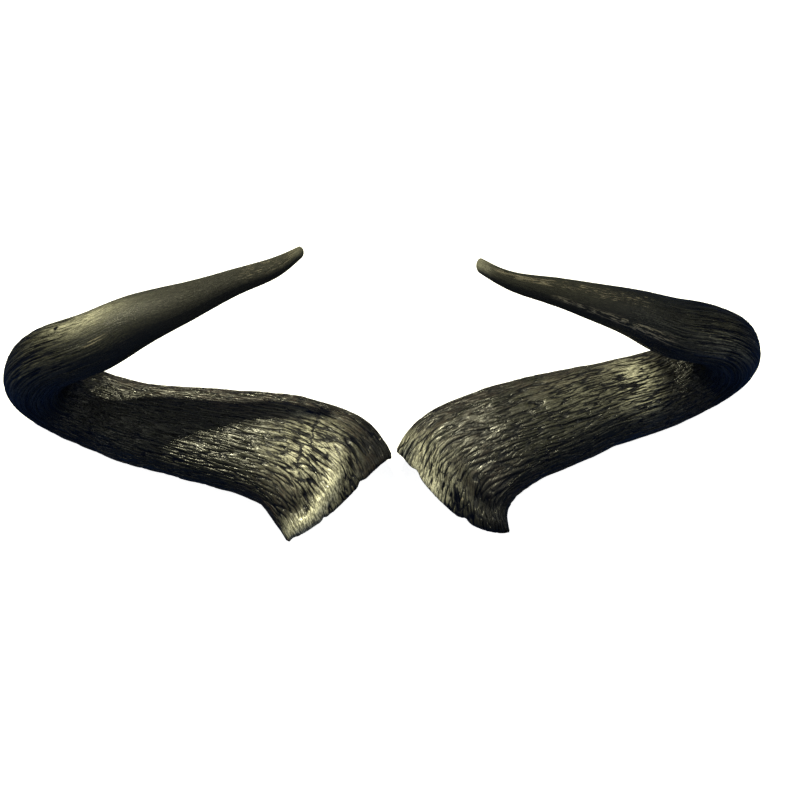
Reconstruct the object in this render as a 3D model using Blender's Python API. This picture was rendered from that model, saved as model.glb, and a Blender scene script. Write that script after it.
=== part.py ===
"""A pair of blue wildebeest horns, laid on a flat surface with their bases together.

Each horn grew as one piece of keratin. A broad, rough base leg lies on the surface, a tight
bend turns at its outer end, and a smooth tip leg rises back over the base leg to a blunt
point. The base leg is hollow and open at an oblique rim, where the horn sat on the skull.

Lengths in the tables are millimetres: X along the pair, Y away from the lower rim corners and
Z up from the surface.
"""

import math

import bmesh
import bpy
import numpy as np

MM = 0.001

# Stations along each horn, from the rim to the tip. A row holds a point on the horn's back edge
# (x, y, z), the point across from it on the front edge (x, y, z) and half the thickness there.
LEFT_STATIONS = (
    (-7, -29, 13, -90, -105, 18, 15),
    (-22, -5, 17, -100, -89, 24, 23),
    (-47, 9, 20, -111, -75, 29, 25),
    (-80, 18, 22, -131, -65, 32, 26.5),
    (-122, 22, 22, -163, -55, 33, 27.5),
    (-163, 24, 23, -197, -44, 33, 28),
    (-199, 26, 21, -229, -33, 32, 29),
    (-233, 35, 20, -252, -23, 30, 29.5),
    (-265, 44, 33, -276, -16, 39, 29.5),
    (-284, 46, 59, -294, -11, 63, 28.5),
    (-280, 42, 89, -287, -9, 95, 24.5),
    (-261, 38, 113, -267, -9, 119, 23.5),
    (-238, 38, 128, -233, -5, 137, 23.5),
    (-211, 46, 136, -203, 9, 148, 20.5),
    (-157, 54, 154, -157, 28, 160, 13.5),
    (-122, 61, 164, -122, 43, 168, 9.5),
    (-91, 67, 175, -91, 53, 177, 6.5),
    (-77, 72, 180, -77, 63, 182, 4),
)
RIGHT_STATIONS = (
    (-3, -24, 13, 89, -97, 16, 15),
    (13, -1, 17, 86, -80, 22, 23),
    (38, 14, 20, 93, -67, 26, 25),
    (71, 26, 22, 114, -51, 29, 26.5),
    (113, 37, 23, 147, -36, 30, 27.5),
    (155, 45, 24, 180, -19, 30, 28),
    (189, 53, 23, 212, -7, 29, 29),
    (214, 61, 22, 235, 3, 29, 29.5),
    (245, 70, 33, 258, 12, 39, 29.5),
    (260, 68, 61, 269, 16, 61, 27.5),
    (255, 63, 86, 262, 17, 86, 23.5),
    (234, 62, 104, 244, 16, 101, 23),
    (211, 59, 119, 212, 14, 118, 22),
    (190, 57, 134, 186, 19, 134, 19),
    (145, 52, 159, 145, 25, 158, 13),
    (113, 51, 170, 114, 31, 171, 9.5),
    (80, 52, 180, 80, 39, 180, 7),
    (62, 60, 184, 61, 49, 184, 5),
)

# The cross-section is a superellipse: a higher power is squarer.
TOP_POWER = 2.3
BELLY_POWER = 3.0
BELLY_ROUNDS_FROM = 0.35
BELLY_ROUND_BY = 0.5

# The rim is cut back under the belly, so that the hollow opens down and inwards. Its top edge
# bows out between the corners, and the skew moves the bow's high point to the front.
RIM_UNDERCUT = 38
LEFT_RIM_BOW = 4
LEFT_RIM_SKEW = 1.6
RIGHT_RIM_BOW = 14
RIGHT_RIM_SKEW = 0.9
# Chips out of the rim's top edge: where across the rim, from -1 at the back corner to 1 at the
# front corner, half their width on the same scale, and how deep they go.
LEFT_CHIPS = ((-0.33, 0.06, 2.0), (0.42, 0.04, 1.5), (0.93, 0.05, 1.0))
RIGHT_CHIPS = ((-0.55, 0.07, 2.0), (0.3, 0.06, 2.5))

# The hollow narrows to a rounded end.
HOLLOW_DEPTH = 150
WALL_AT_RIM = 4
WALL_AT_DEPTH = 8
HOLLOW_END_POWER = 2.2
HOLLOW_END_SHARE = 0.12
SMALLEST_HALF_SIZE = 0.3

# A rounded lip runs along the rim's top, with a valley behind it. The lip lies further in at the
# back corner than at the front, and both fade out towards the back corner and the horn's sides.
LEFT_LIP_HEIGHT = 4.0
RIGHT_LIP_HEIGHT = 2.5
LIP_WIDTH = 8
LIP_FADES_IN_ACROSS = (-0.7, -0.1)
VALLEY_FADES_IN_ACROSS = (-0.2, 0.4)
LIP_FADES_IN_UPWARD = (0.2, 0.8)
LIP_SHIFTS_ACROSS = (-0.4, 0.7)
LIP_FROM_RIM_AT_BACK = 24
LIP_FROM_RIM_AT_FRONT = 8
VALLEY_BEHIND_LIP = 14
VALLEY_SHARE_OF_LIP = 0.8

# Ridges run along the rough leg, and slow swellings go round it where growth paused.
RIDGE_HEIGHT = 0.55
RIDGE_COUNTS = (9, 14, 19)
RIDGE_DRIFT_LENGTHS = (38, 47, 56)
RIDGES_FADE_IN_FROM_RIM = 15
SWELLING_HEIGHT = 0.7
SWELLING_PITCH = 34
ROUGH_UNTIL = 115
SMOOTH_FROM = 276

# A keel runs along the front of the right tip leg.
KEEL_HEIGHT = 1.8
KEEL_ANGLE = math.radians(-20)
KEEL_HALF_ANGLE = math.radians(16)
KEEL_RISES = (300, 340)
KEEL_SINKS = (390, 450)

POINTS_AROUND = 44
RINGS_ALONG = 42
RINGS_IN_HOLLOW = 8
RINGS_BUNCHED_AT_RIM = 1.2
TIP_CAP = ((0.75, 0.35), (0.4, 0.65))
SMOOTH_BELOW_ANGLE = math.radians(50)

OLIVE_BLACK = (0.055, 0.050, 0.030)
BROWN_BLACK = (0.050, 0.043, 0.028)


def smooth_step(low, high, value):
    """0 below low, 1 above high and an S-curve between them."""
    part = np.clip((value - low) / (high - low), 0, 1)
    return part * part * (3 - 2 * part)


def hump(value, centre, width):
    """1 at the centre, falling smoothly to nearly 0 about two widths away."""
    return np.exp(-(((value - centre) / width) ** 2))


def cubic_through(knots, values, wanted):
    """A natural cubic spline through the rows of values, read at the wanted places."""
    steps = np.diff(knots)
    count = len(knots)
    matrix = np.eye(count)
    target = np.zeros_like(values)
    for i in range(1, count - 1):
        matrix[i, i - 1 : i + 2] = steps[i - 1], 2 * (steps[i - 1] + steps[i]), steps[i]
        slopes = (values[i + 1] - values[i]) / steps[i] - (values[i] - values[i - 1]) / steps[i - 1]
        target[i] = 6 * slopes
    bends = np.linalg.solve(matrix, target)
    span = np.clip(np.searchsorted(knots, wanted, side="right") - 1, 0, count - 2)
    step = steps[span][:, None]
    after = (wanted[:, None] - knots[span][:, None]) / step
    before = 1 - after
    straight = before * values[span] + after * values[span + 1]
    bow = (before**3 - before) * bends[span] + (after**3 - after) * bends[span + 1]
    return straight + bow * step**2 / 6


def unit(vectors):
    return vectors / np.linalg.norm(vectors, axis=-1, keepdims=True)


class Horn:
    """One horn's surface, read at a distance along it and an angle around it."""

    BEYOND_RIM = 20
    SAMPLES = 500

    def __init__(self, stations, rim_bow, rim_skew, chips, lip_height, keel_height):
        rows = np.array(stations, float)
        middles = (rows[:, 0:3] + rows[:, 3:6]) / 2
        knots = np.concatenate([[0], np.cumsum(np.linalg.norm(np.diff(middles, axis=0), axis=1))])
        wanted = np.linspace(-self.BEYOND_RIM, knots[-1], self.SAMPLES)
        inside = cubic_through(knots, rows, np.maximum(wanted, 0))
        before_rim = np.minimum(wanted, 0)[:, None]
        slope = (rows[1] - rows[0]) / (knots[1] - knots[0])
        table = inside + before_rim * slope
        self.middle = (table[:, 0:3] + table[:, 3:6]) / 2
        self.half_width = (table[:, 3:6] - table[:, 0:3]) / 2
        self.half_thickness = table[:, 6]
        forward = unit(np.gradient(self.middle, axis=0))
        self.up = unit(np.cross(forward, self.half_width))
        if self.up[0, 2] < 0:
            self.up = -self.up
        steps = np.linalg.norm(np.diff(self.middle, axis=0), axis=1)
        along = np.concatenate([[0], np.cumsum(steps)])
        self.along = along - np.interp(0, wanted, along)
        self.length = self.along[-1]
        self.rim_bow = rim_bow
        self.rim_skew = rim_skew
        self.chips = chips
        self.lip_height = lip_height
        self.keel_height = keel_height

    def read(self, table, s):
        if table.ndim == 1:
            return np.interp(s, self.along, table)
        return np.stack([np.interp(s, self.along, column) for column in table.T], axis=-1)

    def section(self, s, angle):
        """How far across (-1 to 1) and how far up (-1 to 1) the bare section is at an angle."""
        part = s / self.length
        rounding = smooth_step(BELLY_ROUNDS_FROM, BELLY_ROUND_BY, part)
        belly = BELLY_POWER + (TOP_POWER - BELLY_POWER) * rounding
        power = np.where(np.sin(angle) < 0, belly, TOP_POWER)
        across = np.sign(np.cos(angle)) * np.abs(np.cos(angle)) ** (2 / power)
        upward = np.sign(np.sin(angle)) * np.abs(np.sin(angle)) ** (2 / power)
        return across, upward

    def rim(self, angle):
        """How far along the horn its rim lies, around the rim."""
        across, upward = self.section(np.zeros_like(angle), angle)
        top = smooth_step(-0.2, 0.6, upward)
        undercut = RIM_UNDERCUT * np.maximum(0, -np.sin(angle)) ** 1.5
        bow = self.rim_bow * (1 - across**2) * (1 + self.rim_skew * across)
        chipped = sum(depth * hump(across, place, width) for place, width, depth in self.chips)
        return undercut - bow + chipped * top

    def lip(self, across, from_rim):
        """The lip along the rim's top edge, and the valley behind it."""
        shift = LIP_FROM_RIM_AT_BACK - LIP_FROM_RIM_AT_FRONT
        crest = LIP_FROM_RIM_AT_BACK - shift * smooth_step(*LIP_SHIFTS_ACROSS, across)
        bottom = crest + VALLEY_BEHIND_LIP
        lip = hump(from_rim, crest, LIP_WIDTH) * smooth_step(*LIP_FADES_IN_ACROSS, across)
        valley = hump(from_rim, bottom, LIP_WIDTH) * smooth_step(*VALLEY_FADES_IN_ACROSS, across)
        return self.lip_height * (lip - VALLEY_SHARE_OF_LIP * valley)

    def ridges(self, s, angle):
        """Long ridges that wander a little as they run along the leg."""
        height = 0
        for order, (count, drift_length) in enumerate(zip(RIDGE_COUNTS, RIDGE_DRIFT_LENGTHS)):
            drift = np.sin(s / drift_length + order)
            height = height + RIDGE_HEIGHT * np.cos(count * angle + drift + 2 * order)
        return height

    def keel(self, s, angle):
        """A blunt ridge along the front of the tip leg."""
        turn = np.angle(np.exp(1j * (angle - KEEL_ANGLE)))
        ends = smooth_step(*KEEL_RISES, s) * (1 - smooth_step(*KEEL_SINKS, s))
        return self.keel_height * hump(turn, 0, KEEL_HALF_ANGLE) * ends

    def relief(self, s, angle):
        """How far the surface stands out from the bare section."""
        across, upward = self.section(s, angle)
        from_rim = s - self.rim(angle)
        rough = 1 - smooth_step(ROUGH_UNTIL, SMOOTH_FROM, s)
        rough = rough * smooth_step(0, RIDGES_FADE_IN_FROM_RIM, from_rim)
        swelling = SWELLING_HEIGHT * np.cos(2 * math.pi * s / SWELLING_PITCH + across)
        lip = self.lip(across, from_rim) * smooth_step(*LIP_FADES_IN_UPWARD, upward)
        return (self.ridges(s, angle) + swelling) * rough + lip + self.keel(s, angle)

    def surface(self, s, angle, inset=0.0, narrowing=1.0, stand_out=0.0):
        """Points on the horn, or on a shape inset from it and narrowed about its middle line."""
        across, upward = self.section(s, angle)
        half_width = self.read(self.half_width, s)
        reach = np.linalg.norm(half_width, axis=-1)
        height = self.read(self.half_thickness, s)
        sideways = half_width / reach[..., None]
        up = unit(self.read(self.up, s))
        out_across = np.cos(angle) / reach
        out_up = np.sin(angle) / height
        out_size = np.hypot(out_across, out_up)
        shift = stand_out / out_size
        x = across * np.maximum(reach - inset, SMALLEST_HALF_SIZE) * narrowing + shift * out_across
        z = upward * np.maximum(height - inset, SMALLEST_HALF_SIZE) * narrowing + shift * out_up
        return self.read(self.middle, s) + x[..., None] * sideways + z[..., None] * up

    def outside_rings(self):
        angle = np.linspace(0, 2 * math.pi, POINTS_AROUND, endpoint=False)
        part = np.linspace(0, 1, RINGS_ALONG)[:, None] ** RINGS_BUNCHED_AT_RIM
        s = part * self.length + self.rim(angle) * (1 - part) ** 3
        around = np.broadcast_to(angle, s.shape)
        rings = self.surface(s, around, stand_out=self.relief(s, around))
        return list(rings) + self.tip_cap(rings[-1])

    def tip_cap(self, last_ring):
        """Shrinking rings that round the tip off."""
        centre = last_ring.mean(axis=0)
        radius = np.linalg.norm(last_ring - centre, axis=1).mean()
        forward = unit(self.middle[-1] - self.middle[-2])
        return [centre + (last_ring - centre) * size + forward * radius * ahead for size, ahead in TIP_CAP]

    def hollow_rings(self):
        """Rings of the hollow's wall, from its closed end to the rim."""
        angle = np.linspace(0, 2 * math.pi, POINTS_AROUND, endpoint=False)
        outward = np.linspace(0, 1, RINGS_IN_HOLLOW)[:, None]
        s = HOLLOW_DEPTH + (self.rim(angle) - HOLLOW_DEPTH) * outward
        narrowing = np.sqrt(1 - (1 - outward) ** HOLLOW_END_POWER * (1 - HOLLOW_END_SHARE**2))
        wall = WALL_AT_DEPTH + (WALL_AT_RIM - WALL_AT_DEPTH) * outward
        around = np.broadcast_to(angle, s.shape)
        return list(self.surface(s, around, inset=wall, narrowing=narrowing))


def loft(name, rings):
    """A closed solid through rings of points, with a fan of faces over its first and last ring."""
    mesh_builder = bmesh.new()
    rows = [[mesh_builder.verts.new(point * MM) for point in ring] for ring in rings]
    count = len(rows[0])
    for row, following in zip(rows, rows[1:]):
        for i in range(count):
            j = (i + 1) % count
            mesh_builder.faces.new((row[i], row[j], following[j], following[i]))
    for row, ring in ((rows[0], rings[0]), (rows[-1], rings[-1])):
        apex = mesh_builder.verts.new(ring.mean(axis=0) * MM)
        for i in range(count):
            mesh_builder.faces.new((row[i], row[(i + 1) % count], apex))
    bmesh.ops.recalc_face_normals(mesh_builder, faces=mesh_builder.faces)
    mesh = bpy.data.meshes.new(name)
    mesh_builder.to_mesh(mesh)
    mesh_builder.free()
    mesh.shade_smooth()
    mesh.set_sharp_from_angle(angle=SMOOTH_BELOW_ANGLE)
    return bpy.data.objects.new(name, mesh)


def keratin(name, colour):
    material = bpy.data.materials.new(name)
    material.use_nodes = True
    shader = material.node_tree.nodes["Principled BSDF"]
    shader.inputs["Base Color"].default_value = (*colour, 1)
    shader.inputs["Roughness"].default_value = 0.38
    shader.inputs["Metallic"].default_value = 0
    return material


def box_of(objects):
    corners = np.array([vertex.co for obj in objects for vertex in obj.data.vertices])
    return corners.min(axis=0), corners.max(axis=0)


def build():
    for obj in list(bpy.data.objects):
        bpy.data.objects.remove(obj, do_unlink=True)
    collection = bpy.data.collections.new("Wildebeest horns")
    bpy.context.scene.collection.children.link(collection)
    left = Horn(LEFT_STATIONS, LEFT_RIM_BOW, LEFT_RIM_SKEW, LEFT_CHIPS, LEFT_LIP_HEIGHT, 0)
    right = Horn(RIGHT_STATIONS, RIGHT_RIM_BOW, RIGHT_RIM_SKEW, RIGHT_CHIPS, RIGHT_LIP_HEIGHT, KEEL_HEIGHT)
    objects = []
    for name, horn, colour in (("horn_left", left, OLIVE_BLACK), ("horn_right", right, BROWN_BLACK)):
        obj = loft(name, horn.hollow_rings() + horn.outside_rings())
        obj.data.materials.append(keratin(name + " keratin", colour))
        collection.objects.link(obj)
        objects.append(obj)
    low, high = box_of(objects)
    for obj in objects:
        lowest, _ = box_of([obj])
        obj.location = (-(low[0] + high[0]) / 2, -(low[1] + high[1]) / 2, -lowest[2])


build()
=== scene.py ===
# %% [markdown]
# # A pair of wildebeest horns, laid base to base
#
# The two horns lie loose on their sides, with their open bases towards each other. Each one has a
# broad, rough base leg, a tight bend and a smooth tip leg that rises to a blunt point. This lesson
# makes their skin again as a fine mesh: the bark-like cracks, the grooves round the bend, the
# chips and pits of a long life, and the finish of old horn.

import itertools
import math

import bpy
import numpy as np
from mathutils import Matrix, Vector


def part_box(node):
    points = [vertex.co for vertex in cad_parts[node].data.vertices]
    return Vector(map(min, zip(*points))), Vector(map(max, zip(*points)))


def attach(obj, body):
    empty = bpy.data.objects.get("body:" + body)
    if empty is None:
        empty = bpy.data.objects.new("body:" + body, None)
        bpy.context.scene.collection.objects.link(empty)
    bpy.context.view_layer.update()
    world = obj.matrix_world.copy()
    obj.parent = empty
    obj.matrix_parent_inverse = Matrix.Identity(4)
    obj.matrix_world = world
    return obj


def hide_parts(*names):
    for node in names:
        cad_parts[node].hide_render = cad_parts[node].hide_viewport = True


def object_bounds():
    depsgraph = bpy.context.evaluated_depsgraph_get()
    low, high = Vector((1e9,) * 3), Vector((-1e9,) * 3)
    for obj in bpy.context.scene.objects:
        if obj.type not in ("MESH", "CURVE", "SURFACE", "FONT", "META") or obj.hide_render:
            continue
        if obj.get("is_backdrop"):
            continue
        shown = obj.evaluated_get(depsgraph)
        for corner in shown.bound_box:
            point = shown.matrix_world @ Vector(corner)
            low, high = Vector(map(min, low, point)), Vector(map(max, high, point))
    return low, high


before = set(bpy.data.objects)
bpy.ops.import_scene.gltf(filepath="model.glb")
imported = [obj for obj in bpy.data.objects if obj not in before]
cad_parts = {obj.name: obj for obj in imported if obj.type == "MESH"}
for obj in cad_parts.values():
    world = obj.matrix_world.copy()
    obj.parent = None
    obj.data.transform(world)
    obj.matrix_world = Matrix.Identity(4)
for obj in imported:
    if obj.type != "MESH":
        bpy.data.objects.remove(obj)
cad_low, cad_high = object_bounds()
MM = 0.001
print("the pair measures", [round(size / MM) for size in cad_high - cad_low], "mm")

# %% [markdown]
# ## The camera
#
# The picture was taken standing up and looking down at the pair, about 65 degrees above the
# surface. A long lens from a metre and a half away keeps both horns nearly free of perspective,
# which is what the picture shows. The camera could also be turned by hand until it looks right,
# but a target, an angle and a distance are easier to repeat.

# %% Set up the camera
VIEW_ANGLE = math.radians(65)
CAMERA_DISTANCE = 1511 * MM
LENS_LENGTH = 85
FILM_WIDTH = 36
FARTHEST_SEEN = 50
LOOK_AT = Vector((12.6, 16.5, 66.0)) * MM


def aim(thing, place, target):
    """Puts a camera or a light in a place and turns it to the target."""
    thing.location = place
    thing.rotation_euler = (target - place).to_track_quat("-Z", "Y").to_euler()


lens = bpy.data.cameras.new("camera")
lens.lens = LENS_LENGTH
lens.sensor_width = FILM_WIDTH
lens.clip_end = FARTHEST_SEEN
camera = bpy.data.objects.new("camera", lens)
bpy.context.scene.collection.objects.link(camera)
bpy.context.scene.camera = camera
from_target = Vector((0, -math.cos(VIEW_ANGLE), math.sin(VIEW_ANGLE)))
aim(camera, LOOK_AT + CAMERA_DISTANCE * from_target, LOOK_AT)
print("the camera is", round(camera.location.z / MM), "mm above the floor")

# %% [markdown]
# ## Floor and backdrop
#
# The picture's ground is plain white. A floor of real white paper would throw light up into the
# shade under the horns, and that shade is nearly black in the picture. So the paper here glows a
# little by itself, and it is left out of the light that reaches the horns. A large ball of the
# same paper stands round everything, so every other view has a pale backdrop too.

# %% Lay the floor and hang the backdrop
FLOOR_SIZE = 12.0
PAPER = (0.80, 0.80, 0.79)
FLOOR_GLOW = 0.9
BACKDROP_GLOW = 0.85


def paper_finish(name, glow):
    """Matt pale paper. The glow lifts the shadows that fall on it."""
    material = bpy.data.materials.new(name)
    material.use_nodes = True
    shader = material.node_tree.nodes["Principled BSDF"]
    shader.inputs["Base Color"].default_value = (*PAPER, 1)
    shader.inputs["Roughness"].default_value = 0.9
    shader.inputs["Emission Color"].default_value = (1, 1, 1, 1)
    shader.inputs["Emission Strength"].default_value = glow
    return material


def out_of_the_light(thing):
    """The camera sees the thing, but it throws no light and no shadow on the horns."""
    thing.visible_diffuse = False
    thing.visible_glossy = False
    thing.visible_transmission = False
    thing.visible_shadow = False
    thing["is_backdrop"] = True


bpy.ops.mesh.primitive_plane_add(size=FLOOR_SIZE)
floor = bpy.context.object
floor.name = "floor"
floor.data.materials.append(paper_finish("floor paper", FLOOR_GLOW))
out_of_the_light(floor)
bpy.ops.mesh.primitive_uv_sphere_add(segments=64, ring_count=32, radius=FLOOR_SIZE / 2)
backdrop = bpy.context.object
backdrop.name = "backdrop"
backdrop.data.materials.append(paper_finish("backdrop paper", BACKDROP_GLOW))
out_of_the_light(backdrop)
print("the floor and the ball are", FLOOR_SIZE, "m wide")

# %% [markdown]
# ## Light
#
# The light in the picture comes from behind the pair and from high up. It is warm and fairly
# small, so the tip legs throw clear shadows on the base legs. One lamp could light both horns, but
# their shadows in the picture don't agree on one direction, so each horn gets a key lamp of its
# own. Four large, weak panels hang above, in front and at both sides. Old horn has a dull polish
# that mirrors them, and without them its flanks would be flat black. What fills the rest of the
# shade is cool and dim, which turns the undersides navy.

# %% Hang the two key lamps
KEY_SIZE = 0.12
KEY_DISTANCE = 2.4
KEY_COLOUR = (1.0, 0.95, 0.64)


def hang_lamp(name, shape, size, power, colour, place):
    lamp = bpy.data.lights.new(name, "AREA")
    lamp.shape = shape
    lamp.size = size
    lamp.energy = power
    lamp.color = colour
    light = bpy.data.objects.new(name, lamp)
    bpy.context.scene.collection.objects.link(light)
    aim(light, place, LOOK_AT)
    print("the", name, "hangs", round(place.z, 2), "m above the floor")
    return light


def hang_key(name, travels, power):
    """A lamp whose light travels one way. It lights only what is put into its own collection."""
    place = LOOK_AT - Vector(travels).normalized() * KEY_DISTANCE
    key = hang_lamp(name, "DISK", KEY_SIZE, power, KEY_COLOUR, place)
    key.light_linking.receiver_collection = bpy.data.collections.new("lit by " + name)
    return key


left_key = hang_key("left_key", (0.17, -0.48, -1), 88)
right_key = hang_key("right_key", (0.56, -0.6, -1), 61)
left_key.light_linking.receiver_collection.objects.link(floor)

# %% Hang the panels and tint the shade
# Each panel's name, place and width in metres, watts and colour.
PANELS = (
    ("sky_panel", (0, 0.9, 2.1), 1.8, 5, (1.0, 0.98, 0.74)),
    ("front_panel", (0, -1.7, 1.6), 1.6, 4, (1.0, 0.98, 0.72)),
    ("left_panel", (-1.7, -0.3, 1.9), 1.4, 10, (1.0, 1.0, 0.8)),
    ("right_panel", (1.7, -0.3, 1.9), 1.4, 10, (1.0, 1.0, 0.8)),
)
SHADE_COLOUR = (0.14, 0.3, 0.85)
SHADE_STRENGTH = 0.11

for name, place, size, power, colour in PANELS:
    hang_lamp(name, "SQUARE", size, power, colour, Vector(place))

world = bpy.data.worlds.new("shade")
world.use_nodes = True
world.node_tree.nodes["Background"].inputs["Color"].default_value = (*SHADE_COLOUR, 1)
world.node_tree.nodes["Background"].inputs["Strength"].default_value = SHADE_STRENGTH
bpy.context.scene.world = world
bpy.context.scene.view_settings.view_transform = "Standard"
print("the shade's strength is", SHADE_STRENGTH)

# %% [markdown]
# ## The bare form of a horn
#
# A horn is a cone of keratin that has been bent twice. It could be sculpted, but then nothing
# would say where "along the grain" is, and all of its detail follows the grain. So each horn is
# drawn as a row of stations instead: a point on its back edge, the point across from it on the
# front edge, and half the thickness there. A smooth curve runs through the stations, and
# every place on the surface is then a distance along the horn and an angle around it. An angle
# of 0 faces the front edge, 90 the top, 180 the back edge and 270 the belly.

# %% Stations along both horns, in millimetres
# The back edge's x, y and z, the front edge's x, y and z, and half the thickness.
LEFT_STATIONS = (
    (-7, -29, 13, -90, -105, 18, 15),
    (-22, -5, 17, -100, -89, 24, 23),
    (-47, 9, 20, -111, -75, 29, 25),
    (-80, 18, 22, -131, -65, 32, 26.5),
    (-122, 22, 22, -163, -55, 33, 27.5),
    (-163, 24, 23, -197, -44, 33, 28),
    (-199, 26, 21, -229, -33, 32, 29),
    (-233, 35, 20, -252, -23, 30, 29.5),
    (-265, 44, 33, -276, -16, 39, 29.5),
    (-284, 46, 59, -294, -11, 63, 28.5),
    (-280, 42, 89, -287, -9, 95, 24.5),
    (-261, 38, 113, -267, -9, 119, 23.5),
    (-238, 38, 128, -233, -5, 137, 23.5),
    (-211, 46, 136, -203, 9, 148, 20.5),
    (-157, 54, 154, -157, 28, 160, 13.5),
    (-122, 61, 164, -122, 43, 168, 9.5),
    (-91, 67, 175, -91, 53, 177, 6.5),
    (-77, 72, 180, -77, 63, 182, 4),
)
RIGHT_STATIONS = (
    (-3, -24, 13, 89, -97, 16, 15),
    (13, -1, 17, 86, -80, 22, 23),
    (38, 14, 20, 93, -67, 26, 25),
    (71, 26, 22, 114, -51, 29, 26.5),
    (113, 37, 23, 147, -36, 30, 27.5),
    (155, 45, 24, 180, -19, 30, 28),
    (189, 53, 23, 212, -7, 29, 29),
    (214, 61, 22, 235, 3, 29, 29.5),
    (245, 70, 33, 258, 12, 39, 29.5),
    (260, 68, 61, 269, 16, 61, 27.5),
    (255, 63, 86, 262, 17, 86, 23.5),
    (234, 62, 104, 244, 16, 101, 23),
    (211, 59, 119, 212, 14, 118, 22),
    (190, 57, 134, 186, 19, 134, 19),
    (145, 52, 159, 145, 25, 158, 13),
    (113, 51, 170, 114, 31, 171, 9.5),
    (80, 52, 180, 80, 39, 180, 7),
    (62, 60, 184, 61, 49, 184, 5),
)
print(len(LEFT_STATIONS), "stations on the left horn,", len(RIGHT_STATIONS), "on the right")

# %% Curves to draw with


def smooth_step(low, high, value):
    """0 below low, 1 above high and an S-curve between them."""
    part = np.clip((value - low) / (high - low), 0, 1)
    return part * part * (3 - 2 * part)


def unit(vectors):
    return vectors / np.linalg.norm(vectors, axis=-1, keepdims=True)


def cubic_through(knots, values, wanted):
    """A natural cubic spline through the rows of values, read at the wanted places."""
    steps = np.diff(knots)
    count = len(knots)
    matrix = np.eye(count)
    target = np.zeros_like(values)
    for i in range(1, count - 1):
        matrix[i, i - 1 : i + 2] = steps[i - 1], 2 * (steps[i - 1] + steps[i]), steps[i]
        slope_after = (values[i + 1] - values[i]) / steps[i]
        slope_before = (values[i] - values[i - 1]) / steps[i - 1]
        target[i] = 6 * (slope_after - slope_before)
    bends = np.linalg.solve(matrix, target)
    span = np.clip(np.searchsorted(knots, wanted, side="right") - 1, 0, count - 2)
    step = steps[span][:, None]
    after = (wanted[:, None] - knots[span][:, None]) / step
    before = 1 - after
    bow = (before**3 - before) * bends[span] + (after**3 - after) * bends[span + 1]
    return before * values[span] + after * values[span + 1] + bow * step**2 / 6


print("a quarter of the way up, the S-curve is at", float(smooth_step(0, 1, 0.25)))

# %% The bare horn
TOP_POWER = 2.3
BELLY_POWER = 3.0
BELLY_ROUNDS_OFF = (0.35, 0.5)
BEYOND_RIM = 20
PLACES_ALONG = 900
THINNEST = 0.3


class BareHorn:
    """The smooth form under the skin: where the surface is at s mm along and an angle around."""

    def __init__(self, stations):
        rows = np.array(stations, float)
        middles = (rows[:, 0:3] + rows[:, 3:6]) / 2
        knots = np.concatenate([[0], np.cumsum(np.linalg.norm(np.diff(middles, axis=0), axis=1))])
        wanted = np.linspace(-BEYOND_RIM, knots[-1], PLACES_ALONG)
        table = cubic_through(knots, rows, np.maximum(wanted, 0))
        table = table + np.minimum(wanted, 0)[:, None] * (rows[1] - rows[0]) / (knots[1] - knots[0])
        self.middle = (table[:, 0:3] + table[:, 3:6]) / 2
        self.half_width = (table[:, 3:6] - table[:, 0:3]) / 2
        self.half_thickness = table[:, 6]
        self.up = unit(np.cross(unit(np.gradient(self.middle, axis=0)), self.half_width))
        if self.up[0, 2] < 0:
            self.up = -self.up
        along = np.concatenate([[0], np.cumsum(np.linalg.norm(np.diff(self.middle, axis=0), axis=1))])
        self.along = along - np.interp(0, wanted, along)
        self.length = self.along[-1]

    def read(self, table, s):
        if table.ndim == 1:
            return np.interp(s, self.along, table)
        return np.stack([np.interp(s, self.along, column) for column in table.T], axis=-1)

    def section(self, s, angle):
        """How far across (-1 back, 1 front) and how far up (-1 to 1) an angle is."""
        rounding = smooth_step(*BELLY_ROUNDS_OFF, s / self.length)
        belly = BELLY_POWER + (TOP_POWER - BELLY_POWER) * rounding
        power = np.where(np.sin(angle) < 0, belly, TOP_POWER)
        across = np.sign(np.cos(angle)) * np.abs(np.cos(angle)) ** (2 / power)
        upward = np.sign(np.sin(angle)) * np.abs(np.sin(angle)) ** (2 / power)
        return across, upward

    def surface(self, s, angle, inset=0.0, narrowing=1.0, stand_out=0.0):
        """Points on the horn, set in by a wall, drawn together or standing out, in mm."""
        across, upward = self.section(s, angle)
        half_width = self.read(self.half_width, s)
        reach = np.linalg.norm(half_width, axis=-1)
        height = self.read(self.half_thickness, s)
        out_across = np.cos(angle) / reach
        out_up = np.sin(angle) / height
        shift = stand_out / np.hypot(out_across, out_up)
        x = across * np.maximum(reach - inset, THINNEST) * narrowing + shift * out_across
        z = upward * np.maximum(height - inset, THINNEST) * narrowing + shift * out_up
        sideways = half_width / reach[..., None]
        up = unit(self.read(self.up, s))
        return self.read(self.middle, s) + x[..., None] * sideways + z[..., None] * up


for side, stations in (("left", LEFT_STATIONS), ("right", RIGHT_STATIONS)):
    print("the", side, "horn is", round(BareHorn(stations).length), "mm along its middle line")

# %% [markdown]
# ## Random, but the same every time
#
# Bark, grain and scratches are random patterns. Blender's own noise textures can push a mesh in
# and out with a modifier, but a crack has to be dug into the mesh and darkened in the finish at
# the very same place. So the noise is made here once, from a scrambled whole number at each
# corner of a grid, and both the mesh and its colours read it.

# %% Noise


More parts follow.
